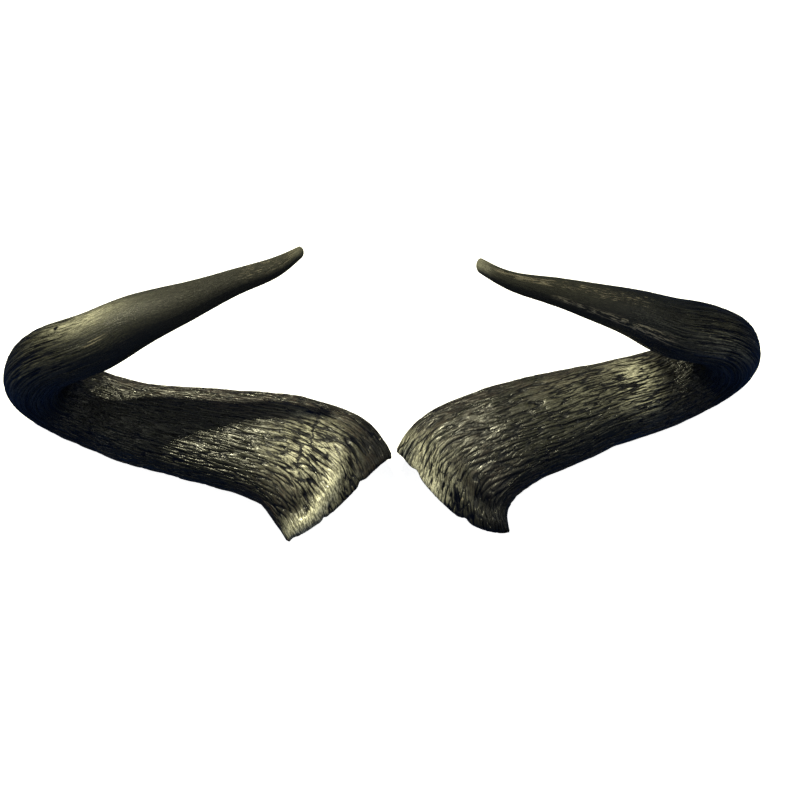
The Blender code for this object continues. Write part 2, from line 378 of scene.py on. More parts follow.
def scrambled(corner, seed):
    """A whole number for each grid corner that looks random but never changes."""
    x, y, z = (corner[..., axis].astype(np.uint32) for axis in range(3))
    mixed = x * np.uint32(2376512323) ^ y * np.uint32(3625334849) ^ z * np.uint32(3407524639)
    mixed = mixed ^ np.uint32(seed * 40503 + 977)
    for shift, factor in ((15, 739982445), (12, 695872825), (15, 1)):
        mixed = (mixed ^ (mixed >> np.uint32(shift))) * np.uint32(factor)
    return mixed


def noise(points, seed):
    """Smooth random bumps about one unit across, from about -1 to 1."""
    cell = np.floor(points).astype(np.int64)
    part = points - cell
    fade = part**3 * (part * (part * 6 - 15) + 10)
    total = 0
    for corner in itertools.product((0, 1), repeat=3):
        bits = scrambled(cell + corner, seed)
        thirds = [(bits >> np.uint32(shift)) & np.uint32(1023) for shift in (0, 10, 20)]
        slope = np.stack(thirds, -1) / 511.5 - 1
        weight = np.prod(np.where(corner, fade, 1 - fade), axis=-1)
        total = total + weight * ((part - corner) * slope).sum(axis=-1)
    return total * 1.6


GRAIN_RADIUS = 46


def grain(turn, s, width, length, seed):
    """Noise drawn out along the horn, in patches of a width and a length in mm. It joins up with
    itself all round the horn."""
    round_x = GRAIN_RADIUS * np.cos(turn) / width
    round_y = GRAIN_RADIUS * np.sin(turn) / width
    return noise(np.stack([round_x, round_y, s / length + 0 * turn], axis=-1), seed)


sample = grain(np.linspace(0, 2 * math.pi, 200), 0, 3, 20, 1)
print("once round the horn the grain runs from", round(sample.min(), 2), "to", round(sample.max(), 2))

# %% [markdown]
# ## The rim, the lip and the slow ridges
#
# Where the horn sat on the skull it ends in an open rim, cut slantwise and a little broken. A
# thick lip runs along it with a valley behind. Long low ridges run down the base leg, and
# the right tip leg carries a blunt keel. A painted height could fake them in one view, but these
# forms are large enough to change the outline, so they are moved in the mesh itself.

# %% Rim and lip
# Each chip's place across the rim (-1 back, 1 front), half its width, and its depth in mm.
LEFT_CHIPS = ((-0.33, 0.06, 2.0), (0.42, 0.04, 1.5), (0.93, 0.05, 1.0))
RIGHT_CHIPS = ((-0.55, 0.07, 2.0), (0.3, 0.06, 2.5))
RIM_UNDERCUT = 38
UNDERCUT_SHARPNESS = 1.5
RIM_WAVE = 7
RIM_WAVE_DEPTH = 0.5
RIM_SPLINTER = 2.2
RIM_SPLINTER_DEPTH = 0.4
LIP_FROM_BACK_OF_RIM = 24
LIP_DRAWS_NEARER_BY = 16
LIP_WIDTH = 8
VALLEY_BEHIND_LIP = 14
VALLEY_SHARE = 0.8


def hump(value, centre, width):
    """1 at the centre, falling smoothly to nearly 0 about two widths away."""
    return np.exp(-(((value - centre) / width) ** 2))


class RimmedHorn(BareHorn):
    """A bare horn with its open rim and the lip along it."""

    def __init__(self, stations, rim_bow, rim_skew, chips, lip_height, seed):
        super().__init__(stations)
        self.rim_bow = rim_bow
        self.rim_skew = rim_skew
        self.chips = chips
        self.lip_height = lip_height
        self.seed = seed

    def rim(self, angle):
        """How far along the horn its rim lies, with chips and a finely broken edge."""
        across, upward = self.section(np.zeros_like(angle), angle)
        top = smooth_step(-0.2, 0.6, upward)
        undercut = RIM_UNDERCUT * np.maximum(0, -np.sin(angle)) ** UNDERCUT_SHARPNESS
        bow = self.rim_bow * (1 - across**2) * (1 + self.rim_skew * across)
        chipped = sum(depth * hump(across, place, width) for place, width, depth in self.chips)
        waves = RIM_WAVE_DEPTH * np.maximum(0, grain(angle, 0, RIM_WAVE, 1, self.seed))
        splinters = RIM_SPLINTER_DEPTH * np.abs(grain(angle, 0, RIM_SPLINTER, 1, self.seed))
        return undercut - bow + chipped * top + (waves + splinters)

    def lip_crest(self, across):
        """How far from the rim the lip's crest lies."""
        return LIP_FROM_BACK_OF_RIM - LIP_DRAWS_NEARER_BY * smooth_step(-0.4, 0.7, across)

    def lip(self, across, from_rim):
        crest = self.lip_crest(across)
        lip = hump(from_rim, crest, LIP_WIDTH) * smooth_step(-0.7, -0.1, across)
        valley = hump(from_rim, crest + VALLEY_BEHIND_LIP, LIP_WIDTH) * smooth_step(-0.2, 0.4, across)
        return self.lip_height * (lip - VALLEY_SHARE * valley)


print(len(LEFT_CHIPS), "chips in the left rim,", len(RIGHT_CHIPS), "in the right")

# %% Ridges and keel
RIDGE_HEIGHT = 0.22
RIDGE_COUNTS = (9, 14, 19)
RIDGE_DRIFT_LENGTHS = (38, 47, 56)
RIDGES_FADE = (115, 276)
SWELLING_HEIGHT = 0.2
SWELLING_LENGTH = 34
KEEL_ANGLE = math.radians(-20)
KEEL_HALF_ANGLE = math.radians(16)
KEEL_BEGINS = (300, 340)
KEEL_ENDS = (390, 450)
LEFT_SEED = 11
RIGHT_SEED = 53


class Horn(RimmedHorn):
    """A rimmed horn with the slow ridges of its base leg and the keel of its tip leg."""

    def __init__(self, stations, rim_bow, rim_skew, chips, lip_height, seed, keel_height):
        super().__init__(stations, rim_bow, rim_skew, chips, lip_height, seed)
        self.keel_height = keel_height

    def ridges(self, s, angle):
        height = 0
        for order, (count, drift_length) in enumerate(zip(RIDGE_COUNTS, RIDGE_DRIFT_LENGTHS)):
            wander = np.sin(s / drift_length + order)
            height = height + RIDGE_HEIGHT * np.cos(count * angle + wander + 2 * order)
        return height

    def broad_relief(self, s, angle):
        """How far the broad forms stand out from the bare section."""
        across, upward = self.section(s, angle)
        from_rim = s - self.rim(angle)
        rough = (1 - smooth_step(*RIDGES_FADE, s)) * smooth_step(0, 15, from_rim)
        swelling = SWELLING_HEIGHT * np.cos(2 * math.pi * s / SWELLING_LENGTH + across)
        off_keel = np.angle(np.exp(1j * (angle - KEEL_ANGLE)))
        keel = hump(off_keel, 0, KEEL_HALF_ANGLE) * smooth_step(*KEEL_BEGINS, s)
        keel = keel * (1 - smooth_step(*KEEL_ENDS, s))
        lip = self.lip(across, from_rim) * smooth_step(0.2, 0.8, upward)
        return (self.ridges(s, angle) + swelling) * rough + lip + self.keel_height * keel


left_horn = Horn(LEFT_STATIONS, 4, 1.6, LEFT_CHIPS, 4.0, LEFT_SEED, keel_height=0)
right_horn = Horn(RIGHT_STATIONS, 14, 0.9, RIGHT_CHIPS, 2.5, RIGHT_SEED, keel_height=1.8)
for side, horn in (("left", left_horn), ("right", right_horn)):
    edge = horn.rim(np.linspace(0, 2 * math.pi, 360))
    print("the", side, "rim lies from", round(edge.min(), 1), "to", round(edge.max(), 1), "mm along")

# %% [markdown]
# ## The skin: bark, grooves and a worn tip
#
# The base leg is covered in cracks a few millimetres apart that run with the grain, like pine
# bark, with flakes standing up between them. Round the bend they draw out into fine parallel
# grooves, and the tip leg is worn nearly smooth. Such cracks could be cut one by one, but a
# stretched noise does it all at once: where it passes through zero, its line wanders, forks and
# closes up just as splits in keratin do.

# %% Cracks and grooves
# The width and the length of each pattern's patches, in mm.
PLATES = (3.9, 25)
SPLITS = (3.0, 15)
OPENINGS = (5, 14)
GROOVES = (3.4, 46)
FINE_GROOVES = (2.5, 28)
# How far from zero the noise may be and still count as a line.
CRACK_WIDTH = 0.16
SPLIT_WIDTH = 0.15
GROOVE_WIDTH = 0.17
ROUNDED_WIDTH = 0.4


def lines_in_the_skin(turn, s, seed):
    """Cracks, splits, grooves and fine grooves, from 0 to 1, and how rounded the plates' edges
    are beside the cracks."""
    plates = grain(turn, s, *PLATES, seed + 2)
    open_here = smooth_step(-0.3, 0.15, grain(turn, s, *OPENINGS, seed + 5))
    crack = hump(plates, 0, CRACK_WIDTH) * (0.1 + 0.9 * open_here)
    split = hump(grain(turn, s, *SPLITS, seed + 3), 0, SPLIT_WIDTH) * (1 - open_here)
    groove = hump(grain(turn, s, *GROOVES, seed + 6), 0, GROOVE_WIDTH)
    fine_groove = hump(grain(turn, s, *FINE_GROOVES, seed + 7), 0, GROOVE_WIDTH)
    return crack, split, groove, fine_groove, hump(plates, 0, ROUNDED_WIDTH)


sample = lines_in_the_skin(np.linspace(0, 2 * math.pi, 2000), 100, LEFT_SEED)[0]
print("cracks take up", round(100 * (sample > 0.5).mean()), "% of the way round the left base leg")

# %% Bark and wear
BARK_ENDS = (205, 300)
GROOVES_BEGIN = (170, 240)
GROOVES_END = (330, 420)
TWIST_GROWS = (-5, 85)
GRAIN_TWIST = {LEFT_SEED: 0.3, RIGHT_SEED: 0.55}
CALM_LIP = {LEFT_SEED: 0.8, RIGHT_SEED: 0.3}
WAVES_IN_GRAIN = (16, 30)
WAVE_TURN = 0.03
FIBRES = (1.9, 8)
SCRATCHES = (2.4, 10)
DENTS = (4.5, 6)
ROUNDED_DEPTH = 0.25
CRACK_DEPTH = 1.2
SPLIT_DEPTH = 0.7
GROOVE_DEPTH = 0.65
FINE_GROOVE_DEPTH = 0.3
FIBRE_HEIGHT = 0.2
RUB_DEPTH = 0.1


def lip_band(horn, s, angle):
    """Where the lip is smooth and painted pale as a highlight, from 0 to 1: on the left horn towards
    the front, on the right horn along the back of the rim."""
    across, upward = horn.section(s, angle)
    from_rim = s - horn.rim(angle)
    if horn.seed == LEFT_SEED:
        band = hump(from_rim, horn.lip_crest(across) - 1, 9) * smooth_step(-0.35, 0.15, across)
    else:
        band = (1 - smooth_step(3, 22, from_rim)) * (1 - smooth_step(-0.3, 0.2, across))
    return band * smooth_step(-0.1, 0.4, upward)


def skin(horn, s, angle, turn):
    """How deep the skin is cut at each place, in mm, with its masks from 0 to 1."""
    seed = horn.seed
    bent = turn + GRAIN_TWIST[seed] * smooth_step(*TWIST_GROWS, s)
    bent = bent + WAVE_TURN * grain(turn, s, *WAVES_IN_GRAIN, seed + 1)
    bark = (1 - smooth_step(*BARK_ENDS, s)) * (1 - CALM_LIP[seed] * lip_band(horn, s, angle))
    worn = smooth_step(*GROOVES_END, s)
    grooved = smooth_step(*GROOVES_BEGIN, s) * (1 - worn)
    crack, split, groove, fine_groove, rounded = lines_in_the_skin(bent, s, seed)
    fibres = grain(bent, s, *FIBRES, seed + 4)
    cuts = bark * (ROUNDED_DEPTH * rounded + CRACK_DEPTH * crack + SPLIT_DEPTH * split)
    cuts = cuts + grooved * (GROOVE_DEPTH * groove + FINE_GROOVE_DEPTH * fine_groove)
    lumps = (bark + 0.3 * grooved) * FIBRE_HEIGHT * fibres
    scratches = RUB_DEPTH * grain(bent, s, *SCRATCHES, seed + 8)
    rubs = worn * (scratches + RUB_DEPTH * grain(bent, s, *DENTS, seed + 9))
    # How dark each crack and groove is painted, which stands for the shade down in it.
    dark = bark * (crack + 0.8 * split) + grooved * (0.6 * groove + 0.3 * fine_groove)
    raised = (bark + 0.5 * grooved) * smooth_step(0.0, 0.5, fibres) * (1 - rounded)
    masks = {"crack": np.clip(dark, 0, 1), "raised": np.clip(raised, 0, 1), "bark": bark, "worn": worn}
    return cuts - lumps - rubs, masks


print("the bark fades out from", BARK_ENDS[0], "to", BARK_ENDS[1], "mm along")

# %% [markdown]
# ## Zones of colour
#
# Old horn isn't one colour. Its back flank and a belt behind the rim have weathered brown. Pale
# gold patches on the lip, the rims, the tip legs and the tips are painted highlights, and a few dark
# patches are painted shade: by both rims, on the left tip leg, and where the right tip leg's shadow
# falls on its base leg. They could be painted by hand on the mesh, but a soft oval that is
# placed by a distance along the horn and an angle around it says the same in one short line.

# %% Brown zones, painted highlights and painted shade
# Each patch: its strength, its place and half length along the horn in mm, and the angle that it
# faces and its half spread in degrees.
# Pale patches that paint highlights on the lip, the rims, the tip legs and the tips.
PAINTED_HIGHLIGHTS = {
    LEFT_SEED: (
        (0.9, 42, 26, 86, 30),
        (0.7, 375, 32, 262, 22),
        (0.1, 330, 30, 320, 50),
        (0.3, 555, 8, 270, 90),
    ),
    RIGHT_SEED: (
        (0.95, 180, 17, 90, 50),
        (0.25, 140, 45, 100, 40),
        (0.3, 318, 30, 312, 42),
        (0.5, 525, 8, 270, 90),
        (0.8, 8, 16, 112, 30),
    ),
}
# Dark patches that paint shade: the shaded places by both rims, a dimmed stretch of the left tip leg,
# and the right tip leg's shadow on its base leg.
PAINTED_SHADE = {
    LEFT_SEED: ((0.98, 9, 24, 152, 34), (0.5, 485, 65, 300, 70)),
    RIGHT_SEED: ((0.97, 13, 36, 30, 34), (0.9, 206, 15, 66, 34)),
}
BELT_FROM_RIM = 45
BELT_WIDTH = 26
BROWN_ENDS = (190, 260)


def soft_patches(patches, s, angle):
    """The soft oval patches together."""
    total = 0
    for strength, place, length, facing, spread in patches:
        away = np.degrees(np.angle(np.exp(1j * (angle - math.radians(facing)))))
        total = total + strength * (hump(s, place, length) * hump(away, 0, spread))
    return total


def zones(horn, s, angle):
    """Where the horn has weathered brown, is painted pale as a highlight or painted dark as shade,
    from 0 to 1.
    """
    across = horn.section(s, angle)[0]
    back_half = 1 - smooth_step(-0.6, 0.1, across)
    belt = hump(s - horn.rim(angle), BELT_FROM_RIM, BELT_WIDTH)
    brown = np.clip(back_half + belt, 0, 1) * (1 - smooth_step(*BROWN_ENDS, s))
    # The pale mask is painted highlight: the lip band and the highlight patches.
    pale = lip_band(horn, s, angle) + soft_patches(PAINTED_HIGHLIGHTS[horn.seed], s, angle)
    # Painted shade and shadow from the dark patches.
    painted_shade = soft_patches(PAINTED_SHADE[horn.seed], s, angle)
    return {"brown": brown, "pale": np.clip(pale, 0, 1), "painted_shade": np.clip(painted_shade, 0, 1)}


# These pale patches are painted highlights.
print(sum(len(patches) for patches in PAINTED_HIGHLIGHTS.values()), "rubbed patches on the pair")

# %% [markdown]
# ## Building the fine mesh
#
# The mesh is a net of rings, from the closed end of the hollow, out over the rim and along to
# the tip. Rings stand close together on the base leg and further apart on the smooth tip leg,
# and points stand closest on the side that looks up, where the cracks are finest. A subdivided
# and displaced copy of the plain model would also work, but its net wouldn't follow the rim.

# %% The net's spacing
# Where each side starts and ends, in degrees, and how many points go round it.
POINTS_ON_SIDES = ((0, 180, 268), (180, 248, 46), (248, 360, 132))
PLACE_OF_SPACING = 150
RINGS_ALONG = 200
CLOSE_RINGS_END = (0.4, 0.62)
CLOSE_RINGS = 1.3
RIM_RINGS = 2.0
RIM_RINGS_REACH = 0.05


def angles_around(horn):
    """Angles at even steps round a section of the base leg, closer together where detail shows,
    and how much of the way round each of them is."""
    fine = np.linspace(0, 360, 4001)
    points = horn.surface(np.full_like(fine, PLACE_OF_SPACING), np.radians(fine))
    steps = np.linalg.norm(np.diff(points, axis=0), axis=1)
    density = np.zeros_like(steps)
    for start, end, count in POINTS_ON_SIDES:
        side = (fine[:-1] >= start) & (fine[:-1] < end)
        density[side] = count / steps[side].sum()
    reached = np.concatenate([[0], np.cumsum(steps * density)])
    turned = np.concatenate([[0], np.cumsum(steps)]) / steps.sum() * 2 * math.pi
    count = sum(side[2] for side in POINTS_ON_SIDES)
    angle = np.interp(np.arange(count) * reached[-1] / count, reached, np.radians(fine))
    return angle, np.interp(angle, np.radians(fine), turned)


def parts_along():
    """Ring places from 0 at the rim to 1 at the tip, closer together on the base leg."""
    fine = np.linspace(0, 1, 2001)
    density = 1 + CLOSE_RINGS * (1 - smooth_step(*CLOSE_RINGS_END, fine))
    density = density + RIM_RINGS * hump(fine, 0, RIM_RINGS_REACH)
    reached = np.concatenate([[0], np.cumsum((density[1:] + density[:-1]) / 2)])
    return np.interp(np.linspace(0, reached[-1], RINGS_ALONG), reached, fine)


print(len(angles_around(left_horn)[0]), "points go round each ring")
print("the first rings are", round(float(np.diff(parts_along())[0] * left_horn.length), 2), "mm apart")

# %% The outside's rings
ROUNDED_EDGE = 1.2
ROUNDED_EDGE_REACH = 2.5


def places_for_finish(s, angle, turn):
    """Where each point is, for the finish. Cosines and sines join up all round the horn."""
    facing = {"facing_x": np.cos(angle), "facing_y": np.sin(angle)}
    return {"along": s, **facing, "turn_x": np.cos(turn), "turn_y": np.sin(turn)}


def outside(horn, angle, turn):
    """The points of the outside, from the rim to the tip, and their masks."""
    part = parts_along()[:, None]
    s = part * horn.length + horn.rim(angle) * (1 - part) ** 3
    around = np.broadcast_to(angle, s.shape)
    turns = np.broadcast_to(turn, s.shape)
    depth, masks = skin(horn, s, around, turns)
    rounded = ROUNDED_EDGE * (1 - smooth_step(0, ROUNDED_EDGE_REACH, s - horn.rim(angle)))
    points = horn.surface(s, around, stand_out=horn.broad_relief(s, around) - depth - rounded)
    masks.update(zones(horn, s, around), inside=np.zeros_like(s))
    return points, {**masks, **places_for_finish(s, around, turns)}


print("the rim's edge is rounded by", ROUNDED_EDGE, "mm")

# %% The hollow's rings
RINGS_IN_HOLLOW = 14
HOLLOW_DEPTH = 150
HOLLOW_END_SHARE = 0.12
INSIDE_THE_RIM = 0.6
DEEP_WALL = 8
WALL_THINS_BY = 4
WALL_SWELLS_BY = 6
HOLLOW_DENTS = (7, 9)
HOLLOW_FIBRES = (2.5, 6)


def hollow(horn, angle, turn):
    """The points of the hollow, from its closed end to the rim, and their masks."""
    outward = np.linspace(0, 1, RINGS_IN_HOLLOW)[:, None] ** 0.8
    s = HOLLOW_DEPTH + (horn.rim(angle) + INSIDE_THE_RIM - HOLLOW_DEPTH) * outward
    narrowing = np.sqrt(1 - (1 - outward) ** 2.2 * (1 - HOLLOW_END_SHARE**2))
    around = np.broadcast_to(angle, s.shape)
    turns = np.broadcast_to(turn, s.shape)
    wall = DEEP_WALL - WALL_THINS_BY * outward + WALL_SWELLS_BY * outward**2 * (1 - outward)
    wall = wall + 0.4 * grain(turns, s, *HOLLOW_DENTS, horn.seed + 20)
    wall = wall + 0.25 * grain(turns, s, *HOLLOW_FIBRES, horn.seed + 21)
    points = horn.surface(s, around, inset=wall, narrowing=narrowing)
    skin_masks = ("crack", "raised", "bark", "worn", "brown", "pale", "painted_shade")
    masks = {title: np.zeros_like(s) for title in skin_masks}
    return points, {**masks, "inside": np.ones_like(s), **places_for_finish(s, around, turns)}


print("the hollow is", HOLLOW_DEPTH, "mm deep")

# %% The tip's rings
CAP_STEPS = np.radians((15, 32, 50, 68, 82))
CAP_BLUNTNESS = 0.7


def tip_cap(horn, last_ring):
    """Shrinking rings that round the tip off."""
    centre = last_ring.mean(axis=0)
    radius = np.linalg.norm(last_ring - centre, axis=1).mean()
    forward = unit(horn.middle[-1] - horn.middle[-2])
    rings = []
    for step in CAP_STEPS:
        size, ahead = math.cos(step), CAP_BLUNTNESS * math.sin(step)
        rings.append(centre + (last_ring - centre) * size + forward * radius * ahead)
    return np.array(rings)


print(len(CAP_STEPS), "rings close the tip")

# %% Weave the net


def net_faces(rings, around):
    """Four-cornered faces between the rings, and a fan of three-cornered ones at both ends."""
    step = np.arange(around)
    following = (step + 1) % around
    quads = []
    for row in range(rings - 1):
        base = row * around
        upper = base + around
        quads.append(np.stack([base + step, upper + step, upper + following, base + following], -1))
    first_centre = rings * around
    last_ring = (rings - 1) * around
    fans = [(first_centre, i, j) for i, j in zip(step, following)]
    fans += [(first_centre + 1, last_ring + j, last_ring + i) for i, j in zip(step, following)]
    return np.concatenate(quads).tolist() + fans


def woven(name, rings, masks):
    """A closed mesh over the rings, with its masks as attributes."""
    ends = [rings[:1].mean(axis=1), rings[-1:].mean(axis=1)]
    points = np.concatenate([rings.reshape(-1, 3), *ends])
    mesh = bpy.data.meshes.new(name)
    mesh.from_pydata((points * MM).tolist(), [], net_faces(*rings.shape[:2]))
    mesh.shade_smooth()
    for title, values in masks.items():
        flat = values.reshape(-1)
        flat = np.concatenate([flat, flat[:1], flat[-1:]]).astype(np.float32)
        mesh.attributes.new(title, "FLOAT", "POINT").data.foreach_set("value", flat)
    return mesh


def face_outward(mesh):
    """Turns every face to look out of the solid, judged by the volume that they enclose."""
    mesh.calc_loop_triangles()
    places = np.array([vertex.co for vertex in mesh.vertices])
    corners = places[np.array([triangle.vertices for triangle in mesh.loop_triangles])]
    volume = np.einsum("ij,ij->i", corners[:, 0], np.cross(corners[:, 1], corners[:, 2])).sum() / 6
    if volume < 0:
        mesh.flip_normals()
    return abs(volume)


print("a net of 3 rings with 4 points each has", len(net_faces(3, 4)), "faces")

# %% Make both skins


def make_horn(name, horn, node):
    """A horn's skin, laid where the frame's plain horn lies and kept inside its box."""
    angle, turn = angles_around(horn)
    inner, inner_masks = hollow(horn, angle, turn)
    outer, outer_masks = outside(horn, angle, turn)
    cap = tip_cap(horn, outer[-1])
    rings = np.concatenate([inner, outer, cap])
    masks = {}
    for title, values in outer_masks.items():
        on_cap = np.repeat(values[-1:], len(cap), axis=0)
        masks[title] = np.concatenate([inner_masks[title], values, on_cap])
    low, high = (np.array(corner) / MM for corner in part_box(node))
    flat = rings.reshape(-1, 3)
    place = (low + high) / 2 - (flat.min(axis=0) + flat.max(axis=0)) / 2
    place[2] = low[2] - flat[:, 2].min()
    mesh = woven(name, np.clip(rings + place, low, high), masks)
    volume = face_outward(mesh)
    piece = bpy.data.objects.new(name, mesh)
    bpy.context.scene.collection.objects.link(piece)
    print(name, len(mesh.loop_triangles), "triangles,", round(volume * 1e6), "cubic centimetres")
    return piece


left_piece = make_horn("left_horn_skin", left_horn, "horn_left")
right_piece = make_horn("right_horn_skin", right_horn, "horn_right")
left_key.light_linking.receiver_collection.objects.link(left_piece)
right_key.light_linking.receiver_collection.objects.link(right_piece)

# %% [markdown]
# ## The finish of old horn
#
# Horn is keratin, like a fingernail: nearly black here, with olive where light skims it and brown
# where the outer layer has weathered. The black painted down in the cracks stands for the shade
# there. A single dark colour would look like plastic. So the colour, the gloss and a fine bump all
# come from the masks that were cut into the mesh, broken up by noise that runs with the grain,
# and pale and dark zones paint highlights and shade. All of it is wired in nodes. The helper
# below writes one node to a line, which is easier to read than a picture of the wires.

# %% Shorthand for shader nodes
NOISE_ROUGHNESS = 0.55


class Finish:
    """A node material that is written a line at a time."""

    def __init__(self, name):
        self.material = bpy.data.materials.new(name)
        self.material.use_nodes = True
        self.nodes = self.material.node_tree.nodes
        self.links = self.material.node_tree.links
        self.shader = self.nodes["Principled BSDF"]

    def put(self, socket, value):
        if isinstance(value, bpy.types.NodeSocket):
            self.links.new(value, socket)
        else:
            socket.default_value = value

    def mask(self, name):
        node = self.nodes.new("ShaderNodeAttribute")
        node.attribute_name = name
        return node.outputs["Fac"]

    def maths(self, operation, first, second=0.0):
        node = self.nodes.new("ShaderNodeMath")
        node.operation = operation
        self.put(node.inputs[0], first)
        self.put(node.inputs[1], second)
        return node.outputs[0]

    def plus(self, first, second):
        return self.maths("ADD", first, second)

    def minus(self, first, second):
        return self.maths("SUBTRACT", first, second)

    def times(self, first, second):
        return self.maths("MULTIPLY", first, second)

    def stronger(self, first, second):
        return self.maths("MAXIMUM", first, second)

    def mix(self, share, first, second):
        node = self.nodes.new("ShaderNodeMix")
        node.data_type = "RGBA"
        self.put(node.inputs[0], share)
        self.put(node.inputs[6], first)
        self.put(node.inputs[7], second)
        return node.outputs[2]

    def ramp(self, value, low, high, start=0.0, end=1.0):
        """The start below low, the end above high and an S-curve between them."""
        node = self.nodes.new("ShaderNodeMapRange")
        node.interpolation_type = "SMOOTHSTEP"
        for place, number in enumerate((value, low, high, start, end)):
            self.put(node.inputs[place], number)
        return node.outputs[0]

    def grain_points(self, stretch):
        """Places in mm round the horn and stretched along it, so patches run with the grain."""
        node = self.nodes.new("ShaderNodeCombineXYZ")
        self.put(node.inputs[0], self.times(self.mask("turn_x"), GRAIN_RADIUS))
        self.put(node.inputs[1], self.times(self.mask("turn_y"), GRAIN_RADIUS))
        self.put(node.inputs[2], self.maths("DIVIDE", self.mask("along"), stretch))
        return node.outputs[0]

    def patches(self, points, scale, detail):
        node = self.nodes.new("ShaderNodeTexNoise")
        self.put(node.inputs["Vector"], points)
        self.put(node.inputs["Scale"], scale)
        self.put(node.inputs["Detail"], detail)
        self.put(node.inputs["Roughness"], NOISE_ROUGHNESS)
        return node.outputs["Fac"]

    def bump(self, height, distance):
        node = self.nodes.new("ShaderNodeBump")
        self.put(node.inputs["Strength"], 1.0)
        self.put(node.inputs["Distance"], distance)
        self.put(node.inputs["Height"], height)
        return node.outputs["Normal"]


print("a finish can write:", ", ".join(word for word in vars(Finish) if word[0] != "_"))

# %% [markdown]
# ## Patterns and hairline cracks
#
# Under the cracks that are cut into the mesh, horn is full of finer things: short fibres, flecks,
# grit and hairline cracks thinner than the net's own faces. A finer net could carry them, but it
# would need many times the faces. So they are noise in the finish, stretched along the grain. A
# hairline is where such a noise passes through its middle value.

# %% Patterns that run with the grain


def horn_patterns(finish):
    """Every noise that breaks the finish up, by name, from 0 to 1. A larger scale makes smaller
    patches, and the last number is how many finer layers are laid over them."""
    short = finish.grain_points(5.0)
    shorter = finish.grain_points(2.5)
    even = finish.grain_points(1.0)
    return {
        "fibre": finish.patches(short, 0.6, 2),
        "mottle": finish.patches(shorter, 0.11, 5),
        "fleck": finish.patches(short, 0.95, 1),
        "speckle": finish.patches(even, 0.45, 2),
        "tone": finish.ramp(finish.patches(shorter, 0.62, 3), 0.38, 0.62),
        "closed": finish.ramp(finish.patches(shorter, 0.22, 1), 0.40, 0.54),
        "hair": finish.patches(short, 0.34, 0.0),
        "groove": finish.patches(finish.grain_points(16.0), 0.42, 0.0),
        "grit": finish.patches(even, 0.9, 2),
    }


trial = Finish("trial")
print(len(horn_patterns(trial)), "patterns take", len(trial.nodes), "nodes")
bpy.data.materials.remove(trial.material)

# %% Hairline cracks
HAIRLINE_WIDTH = 0.08
HAIR_GROOVE_WIDTH = 0.075
SMOOTH_SKIN = 0.1


def hairline(finish, noise_value, width):
    """1 where a noise passes through its middle value and 0 away from it: thin winding lines."""
    off_middle = finish.maths("ABSOLUTE", finish.minus(noise_value, 0.5))
    return finish.ramp(off_middle, 0.0, width, 1.0, 0.0)


def fine_cracks(finish, patterns, rough_skin):
    """Hairline cracks on the bark and fine grooves round the bend."""
    cracks = finish.times(hairline(finish, patterns["hair"], HAIRLINE_WIDTH), patterns["closed"])
    cracks = finish.times(cracks, rough_skin)
    grooves = hairline(finish, patterns["groove"], HAIR_GROOVE_WIDTH)
    bend_begins = finish.ramp(finish.mask("along"), *GROOVES_BEGIN)
    bend_ends = finish.ramp(finish.mask("along"), *GROOVES_END, 1.0, 0.0)
    return finish.stronger(cracks, finish.times(grooves, finish.times(bend_begins, bend_ends)))


print("hairlines are drawn within", HAIRLINE_WIDTH, "of the noise's middle")

# %% [markdown]
# ## Colour, gloss and fine relief
#
# The layers go on in this order: the olive and brown ground first, then the pale gold that paints
# the highlights, the flakes and scuffs, and last the black that paints the shade in the cracks and
# in the shaded patches, which covers the rest. The gloss follows the same patterns, because worn
# horn is dull in one place and polished beside it. The relief tips the surface a little at every
# crack and fleck, and that is what makes them glint. A ramp's first two numbers say at which
# value of its noise a layer starts and where it is full.

# %% Colour
OLIVE_BLACK = (0.005, 0.0052, 0.003, 1)
OLIVE = (0.017, 0.0175, 0.009, 1)
BROWN_BLACK = (0.0065, 0.005, 0.004, 1)
BROWN = (0.029, 0.018, 0.0125, 1)
# The black that paints the shade in cracks, grooves and pits, and in the shaded patches.
SHADE_BLACK = (0.001, 0.001, 0.0015, 1)
FLAKE = (0.055, 0.05, 0.032, 1)
SCUFF_TAN = (0.34, 0.3, 0.21, 1)
HIGHLIGHT_GOLD = (0.72, 0.7, 0.52, 1)
HOLLOW_TAN = (0.16, 0.125, 0.085, 1)
WORN_SPECKS = 0.5
FLAKE_COVER = 0.8


def horn_colour(finish, patterns, brown, dug, pale_marks):
    dark = finish.mix(brown, OLIVE_BLACK, BROWN_BLACK)
    colour = finish.mix(patterns["tone"], dark, finish.mix(brown, OLIVE, BROWN))
    specks = finish.times(finish.mask("worn"), finish.ramp(patterns["grit"], 0.52, 0.68))
    colour = finish.mix(finish.times(specks, WORN_SPECKS), colour, FLAKE)
    # Pale gold paints the highlights of the pale zones, broken into flecks and grit.
    flecked = finish.ramp(patterns["fleck"], 0.42, 0.6, 0.25, 1.0)
    gritty = finish.ramp(patterns["grit"], 0.34, 0.52, 0.45, 1.0)
    pale = finish.times(finish.mask("pale"), finish.times(flecked, gritty))
    colour = finish.mix(pale, colour, HIGHLIGHT_GOLD)
    flakes = finish.times(finish.mask("raised"), finish.ramp(patterns["fibre"], 0.48, 0.66))
    colour = finish.mix(finish.times(flakes, FLAKE_COVER), colour, FLAKE)
    colour = finish.mix(pale_marks, colour, SCUFF_TAN)
    # Painted shade: cracks, grooves, pits and the shaded patches go black.
    colour = finish.mix(dug, colour, SHADE_BLACK)
    return finish.mix(finish.mask("inside"), colour, HOLLOW_TAN)


# The pale gold is painted highlight.
print("the rubbed gold is", round(HIGHLIGHT_GOLD[0] / OLIVE[0]), "times as bright as the olive")

